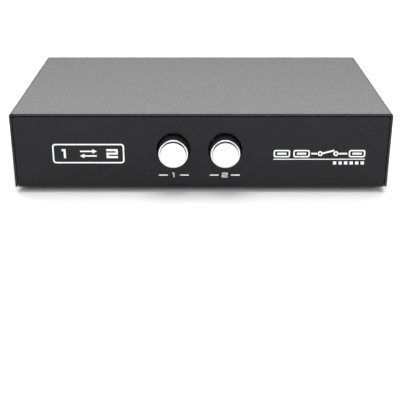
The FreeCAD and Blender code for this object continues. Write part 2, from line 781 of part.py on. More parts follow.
STEM = 3.2
SLIDER_SIZE = (5.0, 4.6)
SLIDER_GAP = 0.1
TERMINAL_PITCH = BUTTON_TRAVEL
TERMINAL_COUNT = 6
TERMINAL_SHEET = 0.4
TERMINAL_PAD = (1.5, 2.8)
TERMINAL_PIN = 0.8
CHANNEL_FRONT = HOUSING_FRONT + 0.5
SLIDER_END = HOUSING_BACK + 0.3
FIRST_TERMINAL_Y = HOUSING_FRONT + 2.5
CLIP_SHEET = 0.16
CLIP_POCKET = 0.65
TOOTH_HEIGHT = 0.9
WINDOW_MARGIN = 0.25

KNOB_FACE = FRONT - BUTTON_REACH
STEM_RECESS = 1.8
KNOB_LENGTH = 8.6
KNOB_BACK = KNOB_FACE + KNOB_LENGTH
RETAINER_FRONT = KNOB_BACK + 0.3
RETAINER_SHEET = 0.6
RETAINER_RADIUS = 3.7
NECK = 2.6
SOCKET_GAP = 0.03
SPRING_FRONT = RETAINER_FRONT + RETAINER_SHEET
SPRING_RADIUS = 3.1
SPRING_WIRE = 0.2

HOUSING_FACE_Z = (BOARD_TOP, HOUSING_TOP)
BRACKET_Z = (BOARD_TOP + 0.6, HOUSING_TOP + 0.9)
BRACKET_X = (BUTTON_X[0] - 8.0, BUTTON_X[1] + 11.6)
BRACKET_LEG_X = (BRACKET_X[0] + 2.0, BRACKET_X[1] - 2.0)
BRACKET_LEG_WIDTH = 1.8
PEG_RADIUS = 0.8
PEG_Y = HOUSING_FRONT + 4.0
EAR_SHEET = 0.8
PLATE_X = (BRACKET_X[0] + EAR_SHEET, BUTTON_X[1] + 5.2)
PLATE_HALF_HEIGHT = 3.1
RAIL_GAP = 0.05
RAIL_HEIGHT = 0.7
LATCH_SPRING_RADIUS = 1.3
LATCH_SPRING_WIRE = 0.15
LATCH_SPRING_WINDOW = 3.4
LATCH_NIB = 0.2
NIB_RADIUS = 0.8
NIB_LENGTH = 1.2
PLATE_CORNER = 0.6
SLOT_GAP = (0.2, 0.15)


def stem_window(x, grow, y):
    """The opening that lets a stem and its latch tooth through."""
    span = (x - STEM / 2 - grow, x + STEM / 2 + TOOTH_HEIGHT + grow)
    return block(span, y, around(AXIS_Z, STEM + 2 * grow))


def switch_bracket():
    """Steel frame that carries both switch bodies and guides the latch plate."""
    plate = block(BRACKET_X, (BRACKET_FRONT, BRACKET_BACK), BRACKET_Z)
    shelf = block(
        BRACKET_X,
        (BRACKET_FRONT, HOUSING_FRONT + 8.0),
        (BRACKET_Z[1] - BRACKET_SHEET, BRACKET_Z[1]),
    )
    angle = joined([plate, shelf])
    angle = round_edges(
        angle,
        BRACKET_SHEET + 0.2,
        lambda e: runs_along(e, X_AXIS)
        and near(e.CenterOfMass.z, BRACKET_Z[1])
        and near(e.CenterOfMass.y, BRACKET_FRONT),
    )
    ears = []
    for x in (
        (BRACKET_X[0], BRACKET_X[0] + EAR_SHEET),
        (BRACKET_X[1] - EAR_SHEET, BRACKET_X[1]),
    ):
        ear_y = (BRACKET_FRONT, HOUSING_FRONT + 2.5)
        ears.append(block(x, ear_y, around(AXIS_Z, 6.4)))
    legs = [
        block(
            around(x, BRACKET_LEG_WIDTH),
            (BRACKET_FRONT, BRACKET_BACK),
            (PIN_END, BRACKET_Z[0] + 0.5),
        )
        for x in BRACKET_LEG_X
    ]
    through = (BRACKET_FRONT - PAST, BRACKET_BACK + PAST)
    cuts = [stem_window(x, WINDOW_MARGIN, through) for x in BUTTON_X]
    for x in BUTTON_X:
        peg_hole = Vector(x, PEG_Y, BRACKET_Z[1] - BRACKET_SHEET)
        cuts.append(rod(PEG_RADIUS + 0.05, peg_hole, Z_AXIS, BRACKET_SHEET))
    spring_x = (PLATE_X[1] - LATCH_NIB, BRACKET_X[1] - EAR_SHEET)
    cuts.append(block(spring_x, through, around(AXIS_Z, LATCH_SPRING_WINDOW)))
    return cut_by(joined([angle] + ears + legs), cuts)


def switch_housing(x, terminals):
    """One four-pole switch body: a moulded channel that grips its terminals."""
    body = block(around(x, HOUSING_WIDTH), (HOUSING_FRONT, HOUSING_BACK), HOUSING_FACE_Z)
    body = round_edges(body, 0.4, lambda e: runs_along(e, Y_AXIS) and e.CenterOfMass.z > AXIS_Z)
    peg_top = BRACKET_Z[1] + 0.4
    peg = rod(PEG_RADIUS, Vector(x, PEG_Y, HOUSING_TOP - 0.5), Z_AXIS, peg_top - HOUSING_TOP + 0.5)
    head = rod(PEG_RADIUS + 0.4, Vector(x, PEG_Y, BRACKET_Z[1]), Z_AXIS, 0.4)
    channel = block(
        around(x, SLIDER_SIZE[0] + 2 * SLIDER_GAP),
        (CHANNEL_FRONT, HOUSING_BACK + PAST),
        around(AXIS_Z, SLIDER_SIZE[1] + 2 * SLIDER_GAP),
    )
    window = stem_window(x, WINDOW_MARGIN, (HOUSING_FRONT - PAST, HOUSING_FRONT + PAST))
    underside = block(
        around(x, HOUSING_WIDTH - 4.4),
        (HOUSING_FRONT + 1.5, HOUSING_BACK - 1.5),
        (BOARD_TOP - PAST, AXIS_Z - SLIDER_SIZE[1] / 2 - 1.4),
    )
    rails = [
        block(
            around(x, HOUSING_WIDTH - 0.8),
            (BRACKET_BACK, HOUSING_FRONT + 0.2),
            around(AXIS_Z + up * (PLATE_HALF_HEIGHT + RAIL_GAP + RAIL_HEIGHT / 2), RAIL_HEIGHT),
        )
        for up in (-1, 1)
    ]
    made = joined([body, peg, head] + rails)
    return cut_by(made, [channel, window, underside, terminals])


def terminal_places(x):
    """Centre of each terminal of one switch, as (x, y)."""
    offset = SLIDER_SIZE[0] / 2 + SLIDER_GAP + TERMINAL_SHEET / 2
    steps = [FIRST_TERMINAL_Y + TERMINAL_PITCH * k for k in range(TERMINAL_COUNT)]
    return [(x + side * offset, y) for side in (-1, 1) for y in steps]


def switch_terminals(x):
    pins = []
    for pin_x, y in terminal_places(x):
        blade = around(pin_x, TERMINAL_SHEET)
        pad = block(blade, around(y, TERMINAL_PAD[0]), around(AXIS_Z, TERMINAL_PAD[1]))
        pin = block(blade, around(y, TERMINAL_PIN), (PIN_END, AXIS_Z))
        pins.append(joined([pad, pin]))
    return Part.makeCompound(pins)


def bridge_centres():
    """Where the four sliding clips of a plunger sit along Y: two per side."""
    first = FIRST_TERMINAL_Y + TERMINAL_PITCH / 2
    return (first, first + 3 * TERMINAL_PITCH)


def plunger(x):
    """Stem, latch tooth and slider in one moulding, with pockets for the clips."""
    slider = block(
        around(x, SLIDER_SIZE[0]),
        (CHANNEL_FRONT, SLIDER_END),
        around(AXIS_Z, SLIDER_SIZE[1]),
    )
    slider = round_edges(slider, 0.3, lambda e: near(e.CenterOfMass.y, SLIDER_END))
    stem_y = (KNOB_FACE + STEM_RECESS, HOUSING_FRONT + 2)
    stem = block(around(x, STEM), stem_y, around(AXIS_Z, STEM))
    neck_cuts = []
    neck_y = (RETAINER_FRONT, RETAINER_FRONT + RETAINER_SHEET)
    for side in (-1, 1):
        reach = sorted((x + side * NECK / 2, x + side * 4))
        neck_cuts.append(block(reach, neck_y, around(AXIS_Z, 8)))
        rise = sorted((AXIS_Z + side * NECK / 2, AXIS_Z + side * 4))
        neck_cuts.append(block(around(x, 8), neck_y, rise))
    latch_face = PLATE_BACK + 0.1 - LATCH_STROKE
    tooth = prism(
        "xy",
        [
            (x + STEM / 2 - 0.2, latch_face),
            (x + STEM / 2 + TOOTH_HEIGHT, latch_face),
            (x + STEM / 2 + TOOTH_HEIGHT, latch_face + 0.5),
            (x + STEM / 2 - 0.2, latch_face + 2.0),
        ],
        *around(AXIS_Z, 1.8),
    )
    pockets = []
    for side in (-1, 1):
        for y in bridge_centres():
            reach = sorted((x + side * (SLIDER_SIZE[0] / 2 - CLIP_POCKET), x + side * 4))
            pockets.append(block(reach, around(y, 4.9), around(AXIS_Z, 2.0)))
    return cut_by(joined([cut_by(stem, neck_cuts), slider, tooth]), pockets)


def bridge_contacts(x):
    """Bowed phosphor-bronze clips: each bridges two neighbouring terminals."""
    clips = []
    outer = SLIDER_SIZE[0] / 2 + SLIDER_GAP / 2
    for side in (-1, 1):
        for y in bridge_centres():
            crest = x + side * (outer - CLIP_SHEET / 2 - 0.02)
            trough = x + side * (SLIDER_SIZE[0] / 2 - CLIP_POCKET + CLIP_SHEET / 2)
            path = [
                (trough, y - 2.3),
                (crest, y - 1.7),
                (crest, y - 1.3),
                (trough, y - 0.7),
                (trough, y + 0.7),
                (crest, y + 1.3),
                (crest, y + 1.7),
                (trough, y + 2.3),
            ]
            clips.append(ribbon("xy", path, CLIP_SHEET, *around(AXIS_Z, 1.6)))
    return Part.makeCompound(clips)


def spring_retainer(x):
    """C-shaped clip that snaps on the stem's neck and holds the return spring."""
    y = (RETAINER_FRONT, RETAINER_FRONT + RETAINER_SHEET)
    disc = rod(RETAINER_RADIUS, Vector(x, y[0], AXIS_Z), Y_AXIS, RETAINER_SHEET)
    slot = block(
        around(x, NECK + 2 * SOCKET_GAP),
        (y[0] - PAST, y[1] + PAST),
        (AXIS_Z - RETAINER_RADIUS - PAST, AXIS_Z + NECK / 2 + SOCKET_GAP),
    )
    return disc.cut(slot)


def coil(start, axis, length, radius, wire_radius, turns):
    """A compression spring as one swept wire."""
    pitch = (length - 2 * wire_radius) / turns
    helix = Part.makeLongHelix(pitch, pitch * turns, radius)
    ring = Part.Circle(Vector(radius, 0, 0), Y_AXIS, wire_radius).toShape()
    spring = Part.Wire(helix.Edges).makePipeShell([Part.Wire([ring])], True, True)
    spring.translate(Vector(0, 0, wire_radius))
    spring.Placement = FreeCAD.Placement(start, FreeCAD.Rotation(Z_AXIS, axis)).multiply(
        spring.Placement
    )
    wire = 2 * math.pi * radius * turns * math.pi * wire_radius**2
    print("spring volume against section times length:", round(spring.Volume / wire, 3))
    return spring


SPRING_CLEARANCE = 0.08


def return_spring(x):
    start = Vector(x, SPRING_FRONT + SPRING_CLEARANCE, AXIS_Z)
    length = BRACKET_FRONT - SPRING_FRONT - 2 * SPRING_CLEARANCE
    return coil(start, Y_AXIS, length, SPRING_RADIUS, SPRING_WIRE, 6)


def latch_plate():
    """Sliding strip with a slot for each stem; its slot edges hold a pushed-in tooth."""
    y = (PLATE_FRONT, PLATE_BACK)
    strip = block(PLATE_X, y, around(AXIS_Z, 2 * PLATE_HALF_HEIGHT))
    strip = round_edges(strip, PLATE_CORNER, lambda e: runs_along(e, Y_AXIS))
    middle = Vector(PLATE_X[1] - LATCH_NIB, (y[0] + y[1]) / 2, AXIS_Z)
    nib = rod(NIB_RADIUS, middle, X_AXIS, NIB_LENGTH)
    nib = nib.common(block((PLATE_X[0], BRACKET_X[1]), y, around(AXIS_Z, 2 * NIB_RADIUS)))
    slots = []
    for x in BUTTON_X:
        span = (
            x - STEM / 2 - PLATE_TRAVEL - SLOT_GAP[0],
            x + STEM / 2 + TOOTH_HEIGHT + SLOT_GAP[1],
        )
        slot_y = (y[0] - PAST, y[1] + PAST)
        slots.append(block(span, slot_y, around(AXIS_Z, STEM + 2 * WINDOW_MARGIN)))
    return cut_by(joined([strip, nib]), slots)


def latch_spring():
    start_x = PLATE_X[1] + SPRING_CLEARANCE
    length = BRACKET_X[1] - EAR_SHEET - start_x - SPRING_CLEARANCE
    start = Vector(start_x, (PLATE_FRONT + PLATE_BACK) / 2, AXIS_Z)
    return coil(start, X_AXIS, length, LATCH_SPRING_RADIUS, LATCH_SPRING_WIRE, 8)


# Buttons ---------------------------------------------------------------

KNOB_RADIUS = 4.4
KNOB_FRONT_RADIUS = 4.32
CAP_RADIUS = 4.25
CAP_SKIRT = 1.6
CAP_WALL = 0.28
CAP_STEP = 0.9
CAP_FLOOR = CAP_STEP + CAP_WALL
FACE_RADIUS = 3.75
FACE_ROUND = 0.06
RIM_ROUND = 0.12
CORE_DEPTH = 5.5
CORE_RADII = (2.9, 3.5)
RIB = 0.9
KNOB_CHAMFER = 0.3
CAP_GAP = 0.05


def button_knob(x):
    """Black moulded knob: round body, cored from behind, with a square socket."""
    spigot = CAP_RADIUS - CAP_WALL - CORE_GAP
    profile = [
        (0, KNOB_LENGTH),
        (KNOB_RADIUS - KNOB_CHAMFER, KNOB_LENGTH),
        (KNOB_RADIUS, KNOB_LENGTH - KNOB_CHAMFER),
        (KNOB_FRONT_RADIUS, CAP_SKIRT + CAP_GAP),
        (spigot, CAP_SKIRT + CAP_GAP),
        (spigot, CAP_FLOOR),
        (0, CAP_FLOOR),
    ]
    knob = turned(profile, Vector(x, KNOB_FACE, AXIS_Z), Y_AXIS)
    core_y = KNOB_BACK - CORE_DEPTH
    start = Vector(x, core_y, AXIS_Z)
    core = rod(CORE_RADII[1], start, Y_AXIS, CORE_DEPTH).cut(
        rod(CORE_RADII[0], start, Y_AXIS, CORE_DEPTH)
    )
    across = 2 * KNOB_RADIUS
    ribs = [block(around(x, across), (core_y, KNOB_BACK), around(AXIS_Z, RIB))]
    ribs.append(block(around(x, RIB), (core_y, KNOB_BACK), around(AXIS_Z, across)))
    core = cut_by(core, ribs)
    socket_size = STEM + 2 * SOCKET_GAP
    socket_y = (KNOB_FACE + STEM_RECESS, KNOB_BACK + PAST)
    socket = block(around(x, socket_size), socket_y, around(AXIS_Z, socket_size))
    return cut_by(knob, [core, socket])


def quarter_round(radius, centre, start, steps=6):
    """Points of a quarter circle in a (radius, along) profile, from start degrees onwards."""
    turn = [math.radians(start + 90 * k / steps) for k in range(steps + 1)]
    return [(centre[0] + radius * math.cos(t), centre[1] + radius * math.sin(t)) for t in turn]


def button_cap(x):
    """Bright turned cap: a flat face that stands proud of a narrow rim."""
    inner = CAP_RADIUS - CAP_WALL
    profile = [(0, 0)]
    profile += quarter_round(FACE_ROUND, (FACE_RADIUS - FACE_ROUND, FACE_ROUND), 270, 3)
    profile += [(FACE_RADIUS, CAP_STEP)]
    profile += quarter_round(RIM_ROUND, (CAP_RADIUS - RIM_ROUND, CAP_STEP + RIM_ROUND), 270)
    profile += [(CAP_RADIUS, CAP_SKIRT), (inner, CAP_SKIRT), (inner, CAP_FLOOR), (0, CAP_FLOOR)]
    return turned(profile, Vector(x, KNOB_FACE, AXIS_Z), Y_AXIS)


# Circuit board ---------------------------------------------------------

BOARD_X = (-47.0, 47.0)
BOARD_Y = (CASE_Y - 23.5, REAR - 2.6)
BOARD_CORNER = 1.5
BOARD_HOLE_RADIUS = 1.65
ROUND_HOLE_LIMIT = 1.0
PIN_HOLE_MARGIN = 0.15
SOLDER_MARGINS = (0.12, 0.5)
SOLDER_HEIGHT = 0.8


def board_pins():
    """Every through-board pin and leg: (x, y, size along x, size along y)."""
    pins = []
    for x in BUTTON_X:
        pins += [(px, py, TERMINAL_SHEET, TERMINAL_PIN) for px, py in terminal_places(x)]
    leg_y = (BRACKET_FRONT + BRACKET_BACK) / 2
    pins += [(x, leg_y, BRACKET_LEG_WIDTH, BRACKET_SHEET) for x in BRACKET_LEG_X]
    tail = (CONTACT_WIDTH, CONTACT_SHEET)
    pins += [(DEVICE_PORT_X + x, DEVICE_PIN_Y, *tail) for x in DEVICE_CONTACT_X]
    for side in (-1, 1):
        leg_x = DEVICE_PORT_X + side * (DEVICE_INNER[0] / 2 + FOIL / 2)
        pins.append((leg_x, DEVICE_LEG_Y, FOIL, DEVICE_LEG_WIDTH))
    for centre in HOST_PORT_X:
        for side in (-1, 1):
            contact_x = centre + side * HOST_CONTACT_X
            tail = (HOST_CONTACT_WIDTH, HOST_CONTACT_SHEET)
            pins += [(contact_x, y, *tail) for y in HOST_PIN_Y]
            leg_x = centre + side * (HOST_WIDTH / 2 - FOIL / 2)
            pins.append((leg_x, HOST_LEG_Y, FOIL, HOST_LEG_WIDTH))
    return pins


def circuit_board():
    board = round_block(BOARD_X, BOARD_Y, (BOARD_BOTTOM, BOARD_TOP), Z_AXIS, BOARD_CORNER)
    through = (BOARD_BOTTOM - PAST, BOARD_TOP + PAST)
    drilled = BOARD_THICKNESS + 2 * PAST
    holes = [
        rod(BOARD_HOLE_RADIUS, Vector(x, y, through[0]), Z_AXIS, drilled)
        for x, y in BOARD_SCREW_PLACES
    ]
    for x, y, wide, deep in board_pins():
        radius = math.hypot(wide, deep) / 2 + PIN_HOLE_MARGIN
        if max(wide, deep) < ROUND_HOLE_LIMIT:
            holes.append(rod(radius, Vector(x, y, through[0]), Z_AXIS, drilled))
        else:
            span_x = around(x, wide + 2 * PIN_HOLE_MARGIN)
            span_y = around(y, deep + 2 * PIN_HOLE_MARGIN)
            holes.append(block(span_x, span_y, through))
    return cut_by(board, holes)


def solder_joints():
    """A fillet of solder round each pin, under the board."""
    made = []
    low = BOARD_BOTTOM - SOLDER_HEIGHT
    for x, y, wide, deep in board_pins():
        reach = max(wide, deep) / 2
        radii = [reach + margin for margin in SOLDER_MARGINS]
        cone = Part.makeCone(*radii, SOLDER_HEIGHT, Vector(x, y, low))
        pin = block(around(x, wide), around(y, deep), (low - PAST, BOARD_BOTTOM + PAST))
        made.append(cone.cut(pin))
    return Part.makeCompound(made)


# Printed markings ------------------------------------------------------

INK = 0.03
FRAME_SIZE = (20.9, 6.1)
FRAME_LINE = 0.42
MARK_Z = BASE + 11.0
FRAME_X = -32.8
FRAME_CORNER = 0.95
FRAME_DIGIT = (3.3, 2.8, 0.62)
FRAME_DIGIT_OFFSET = 6.9
NUMERAL_FLAG = 0.25
ARROW_LEVEL = 0.72
ARROW_SHAFT = (3.6, 0.42)
ARROW_HEAD = (1.2, 2.5, 0.66)
SYMBOL_X = 34.5
SOCKET_MARK = (4.8, 2.3)
SOCKET_MARK_LINE = 0.4
SOCKET_MARK_CORNER = 0.6
SOCKET_MARK_PLACES = (-10.95, -5.2, 10.95)
TONGUE_MARK = (2.7, 0.6)
WIRE_LINE = 0.5
PIVOT_PLACES = (0.2, 4.8)
PIVOT_RADII = (0.35, 0.75)
RULE_DROP = -1.75
RULE_SIZE = (26.7, 0.26)
SQUARES_START = 4.6
SQUARES_PITCH = 1.62
SQUARES_DROP = -2.95
SQUARE_SIDE = 0.95
SQUARE_COUNT = 6
DASH_LINE = 0.34
FRONT_DASHES = (8.8, 2.6)
FRONT_NUMERAL = (1.7, 1.45, 0.25)
REAR_DASHES = (11.2, 3.4)
REAR_NUMERAL = (1.8, 1.55, 0.27)
ARROW_MARK = (0.95, 0.75)
BUTTON_MARK_Z = BASE + 4.2
PORT_MARK_Z = BASE + 19.3


def panel_prism(panel_y, facing, centre, outline):
    """An outline of (right, up) points printed on a panel, seen by a person facing it.

    facing is -1 for the front panel and 1 for the rear panel.
    """
    points = [(centre[0] - facing * u, centre[1] + v) for u, v in outline]
    low, high = sorted((panel_y, panel_y + facing * INK))
    return prism("xz", points, low, high)


def bar(centre_u, centre_v, wide, tall):
    """The outline of an upright rectangle."""
    u, v = around(centre_u, wide), around(centre_v, tall)
    return [(u[0], v[0]), (u[1], v[0]), (u[1], v[1]), (u[0], v[1])]


def numeral(value, centre_u, wide, tall, line):
    """Outlines of a squared 1 or 2 of plain block strokes."""
    half_u = (wide - line) / 2
    half_v = (tall - line) / 2
    if value == 2:
        path = [(-half_u - line / 2, half_v), (half_u, half_v), (half_u, 0), (-half_u, 0)]
        path += [(-half_u, -half_v), (half_u + line / 2, -half_v)]
        return [stroke([(centre_u + u, v) for u, v in path], line)]
    path = [(-NUMERAL_FLAG * wide, half_v), (0, half_v), (0, -tall / 2)]
    return [stroke([(centre_u + u, v) for u, v in path], line)]


def printed(panel_y, facing, centre, outlines):
    return [panel_prism(panel_y, facing, centre, outline) for outline in outlines]


def ring_frame(panel_y, facing, centre, size, line, radius):
    """A rounded rectangular outline of even line width."""
    low, high = sorted((panel_y, panel_y + facing * INK))
    outer = round_block(
        around(centre[0], size[0]), (low, high), around(centre[1], size[1]), Y_AXIS, radius
    )
    inner = round_block(
        around(centre[0], size[0] - 2 * line),
        (low - PAST, high + PAST),
        around(centre[1], size[1] - 2 * line),
        Y_AXIS,
        radius - line * 0.8,
    )
    return outer.cut(inner)


def exchange_arrows():
    """Two opposed arrows, one above the other."""
    outlines = []
    root, tip, half = ARROW_HEAD
    for way in (-1, 1):
        level = way * ARROW_LEVEL
        outlines.append(bar(way * (root - ARROW_SHAFT[0] / 2), level, *ARROW_SHAFT))
        outlines.append([(way * root, level + half), (way * tip, level), (way * root, level - half)])
    return outlines


def dash_pair(wide, dash):
    """Two dashes with a gap between them, wide from end to end."""
    return [bar(side * (wide - dash) / 2, 0, dash, DASH_LINE) for side in (-1, 1)]


def port_symbol(panel_y, centre):
    """A socket pictogram: rounded outline with a tongue bar inside."""
    frame = ring_frame(panel_y, -1, centre, SOCKET_MARK, SOCKET_MARK_LINE, SOCKET_MARK_CORNER)
    return [frame] + printed(panel_y, -1, centre, [bar(0, 0, *TONGUE_MARK)])


def changeover_symbol(panel_y):
    """Two sockets, a changeover contact and one socket, over a long rule."""
    centre = (SYMBOL_X, MARK_Z)
    made = []
    for offset in SOCKET_MARK_PLACES:
        made += port_symbol(panel_y, (SYMBOL_X + offset, MARK_Z))
    lines = [bar(-1.55, 0, 1.7, WIRE_LINE), bar(6.9, 0, 2.4, WIRE_LINE)]
    lines.append(stroke([(0.95, 0.1), (4.3, 1.0)], WIRE_LINE))
    made += printed(panel_y, -1, centre, lines)
    low, high = sorted((panel_y, panel_y - INK))
    for offset in PIVOT_PLACES:
        at = Vector(SYMBOL_X + offset, low, MARK_Z)
        ring = rod(PIVOT_RADII[1], at, Y_AXIS, high - low)
        made.append(ring.cut(rod(PIVOT_RADII[0], at, Y_AXIS, high - low)))
    rule = [bar(0, RULE_DROP, *RULE_SIZE)]
    small = [
        bar(SQUARES_START + SQUARES_PITCH * k, SQUARES_DROP, SQUARE_SIDE, SQUARE_SIDE)
        for k in range(SQUARE_COUNT)
    ]
    return made + printed(panel_y, -1, centre, rule + small)


def front_markings():
    made = [
        ring_frame(PANEL_FRONT, -1, (FRAME_X, MARK_Z), FRAME_SIZE, FRAME_LINE, FRAME_CORNER)
    ]
    outlines = exchange_arrows()
    outlines += numeral(1, -FRAME_DIGIT_OFFSET, *FRAME_DIGIT)
    outlines += numeral(2, FRAME_DIGIT_OFFSET, *FRAME_DIGIT)
    made += printed(PANEL_FRONT, -1, (FRAME_X, MARK_Z), outlines)
    made += changeover_symbol(PANEL_FRONT)
    for value, x in zip((1, 2), BUTTON_X):
        outlines = dash_pair(*FRONT_DASHES) + numeral(value, 0, *FRONT_NUMERAL)
        made += printed(PANEL_FRONT, -1, (x, BUTTON_MARK_Z), outlines)
    return Part.makeCompound(made)


def rear_markings():
    made = []
    for value, x in zip((1, 2), HOST_PORT_X):
        outlines = dash_pair(*REAR_DASHES) + numeral(value, 0, *REAR_NUMERAL)
        made += printed(PANEL_REAR, 1, (x, PORT_MARK_Z), outlines)
    half, rise = ARROW_MARK
    outlines = dash_pair(*REAR_DASHES) + [[(-half, -rise), (half, -rise), (0, rise)]]
    made += printed(PANEL_REAR, 1, (DEVICE_PORT_X, PORT_MARK_Z), outlines)
    return Part.makeCompound(made)


# Assembly --------------------------------------------------------------


def build():
    """Every node of the assembly by name."""
    nodes = {
        "base_chassis": base_chassis(),
        "top_cover": top_cover(),
        "cover_screws": cover_screws(),
        "rubber_feet": rubber_feet(),
        "board_standoffs": board_standoffs(),
        "board_screws": board_screws(),
        "circuit_board": circuit_board(),
        "solder_joints": solder_joints(),
        "device_port_shell": device_port_shell(),
        "device_port_core": device_port_core(),
        "device_port_contacts": device_port_contacts(),
        "switch_bracket": switch_bracket(),
        "latch_plate": latch_plate(),
        "latch_spring": latch_spring(),
        "front_markings": front_markings(),
        "rear_markings": rear_markings(),
    }
    for number, x in enumerate(HOST_PORT_X, start=1):
        nodes[f"host_port_{number}_shell"] = host_port_shell(x)
        nodes[f"host_port_{number}_well"] = host_port_well(x)
        nodes[f"host_port_{number}_tongue"] = host_port_tongue(x)
        nodes[f"host_port_{number}_contacts"] = host_port_contacts(x)
    for number, x in enumerate(BUTTON_X, start=1):
        terminals = switch_terminals(x)
        nodes[f"switch_{number}_terminals"] = terminals
        nodes[f"switch_{number}_housing"] = switch_housing(x, terminals)
        nodes[f"switch_{number}_plunger"] = plunger(x)
        nodes[f"switch_{number}_bridges"] = bridge_contacts(x)
        nodes[f"switch_{number}_retainer"] = spring_retainer(x)
        nodes[f"switch_{number}_return_spring"] = return_spring(x)
        nodes[f"button_{number}_knob"] = button_knob(x)
        nodes[f"button_{number}_cap"] = button_cap(x)
    return nodes


def main():
    os.makedirs("parts", exist_ok=True)
    for name, shape in sorted(build().items()):
        problem = "" if shape.isValid() else "  INVALID"
        print(f"{name}: {len(shape.Solids)} solids, {shape.Volume:.2f} mm3{problem}")
        shape.exportStep(f"parts/{name}.step")


main()
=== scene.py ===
"""Looks of the two-port manual selector switch box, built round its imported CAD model."""

import json
import math

import bmesh
import bpy
from mathutils import Matrix, Vector


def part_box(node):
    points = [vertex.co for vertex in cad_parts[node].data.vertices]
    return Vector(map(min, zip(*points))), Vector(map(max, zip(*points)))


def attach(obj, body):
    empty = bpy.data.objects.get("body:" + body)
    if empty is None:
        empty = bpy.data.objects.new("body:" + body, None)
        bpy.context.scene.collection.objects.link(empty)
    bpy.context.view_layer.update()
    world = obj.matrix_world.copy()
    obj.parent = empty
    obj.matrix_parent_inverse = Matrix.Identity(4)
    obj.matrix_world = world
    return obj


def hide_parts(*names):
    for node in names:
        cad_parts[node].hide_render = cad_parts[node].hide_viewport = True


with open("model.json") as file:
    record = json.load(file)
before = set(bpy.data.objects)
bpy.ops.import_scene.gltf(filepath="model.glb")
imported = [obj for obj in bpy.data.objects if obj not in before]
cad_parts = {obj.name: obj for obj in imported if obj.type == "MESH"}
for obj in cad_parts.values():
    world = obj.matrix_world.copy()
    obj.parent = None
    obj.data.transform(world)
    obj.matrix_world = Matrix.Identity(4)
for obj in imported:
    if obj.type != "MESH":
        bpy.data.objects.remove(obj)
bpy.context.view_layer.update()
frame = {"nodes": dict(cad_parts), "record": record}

MM = 0.001

# Meshes ----------------------------------------------------------------

SEGMENTS = 96
ARC_STEPS = 6
SMOOTH_ANGLE = math.radians(32)


def rounded(points, radii):
    """A polyline with the given corners turned into arcs: radii is {corner number: radius}."""
    path = []
    for k, point in enumerate(points):
        if k not in radii:
            path.append(point)
            continue
        here = Vector(point)
        to_last = (Vector(points[k - 1]) - here).normalized()
        to_next = (Vector(points[(k + 1) % len(points)]) - here).normalized()
        half = to_last.angle(to_next) / 2
        inset = radii[k] / math.tan(half)
        centre = here + (to_last + to_next).normalized() * radii[k] / math.sin(half)
        first = here + to_last * inset - centre
        last = here + to_next * inset - centre
        sweep = first.angle_signed(last)
        for step in range(ARC_STEPS + 1):
            turned = first.copy()
            turned.rotate(Matrix.Rotation(-sweep * step / ARC_STEPS, 2))
            path.append(tuple(centre + turned))
    return path


def lathe(name, profile, place):
    """A closed solid of revolution. The profile runs round its half section, as pairs of
    radius and distance along the axis in mm."""
    verts, rings = [], []
    for radius, along in profile:
        if radius == 0:
            rings.append([len(verts)] * SEGMENTS)
            verts.append((0, 0, along * MM))
            continue
        rings.append(list(range(len(verts), len(verts) + SEGMENTS)))
        for k in range(SEGMENTS):
            turn = 2 * math.pi * k / SEGMENTS
            verts.append((radius * MM * math.cos(turn), radius * MM * math.sin(turn), along * MM))
    faces = []
    for one, two in zip(rings, rings[1:] + rings[:1]):
        for k in range(SEGMENTS):
            after = (k + 1) % SEGMENTS
            face = list(dict.fromkeys((one[k], one[after], two[after], two[k])))
            if len(face) > 2:
                faces.append(face)
    mesh = bpy.data.meshes.new(name)
    mesh.from_pydata(verts, [], faces)
    mesh.transform(place)
    return finished(name, mesh)


def finished(name, mesh):
    """An object of a mesh whose faces point outward, smooth but for its real edges."""
    work = bmesh.new()
    work.from_mesh(mesh)
    bmesh.ops.recalc_face_normals(work, faces=work.faces)
    work.to_mesh(mesh)
    work.free()
    mesh.shade_smooth()
    mesh.set_sharp_from_angle(angle=SMOOTH_ANGLE)
    piece = bpy.data.objects.new(name, mesh)
    bpy.context.scene.collection.objects.link(piece)
    return piece


def facing(direction, at):
    """The placement that stands the lathe's axis along a direction at a point."""
    turn = Vector((0, 0, 1)).rotation_difference(Vector(direction)).to_matrix().to_4x4()
    return Matrix.Translation(at) @ turn


# Materials -------------------------------------------------------------

# A mix node has a socket for each kind of value: these are its colours, in and out.
MIX_COLOURS = (6, 7)
MIX_RESULT = 2

DUST = (0.03, 0.03, 0.032)
SCUFFED = (0.06, 0.06, 0.06)
SOCKET_PAINTED_SHADE = (0.1, 0.095, 0.085)
STEP_PAINTED_SHADE = (0.02, 0.02, 0.021)
WORN_INK = (0.66, 0.66, 0.66)
WEAVE = (0.012, 0.05, 0.025)
NICKEL = ((0.74, 0.695, 0.6), (0.66, 0.615, 0.52))

# In mm: how deep in a socket the painted shade on its plate is full and where the plate is
# still bright; and where the painted shade on a cap's step starts and ends, from the face's edge.
SHADE_DEPTHS = (1.8, 0.2)
STEP_START = (-0.07, -0.04)
STEP_END = (0.07, 0.12)


def feed(tree, socket, value):
    """Links a socket to another one, or sets it to a constant."""
    if isinstance(value, bpy.types.NodeSocket):
        tree.links.new(value, socket)
    else:
        socket.default_value = value


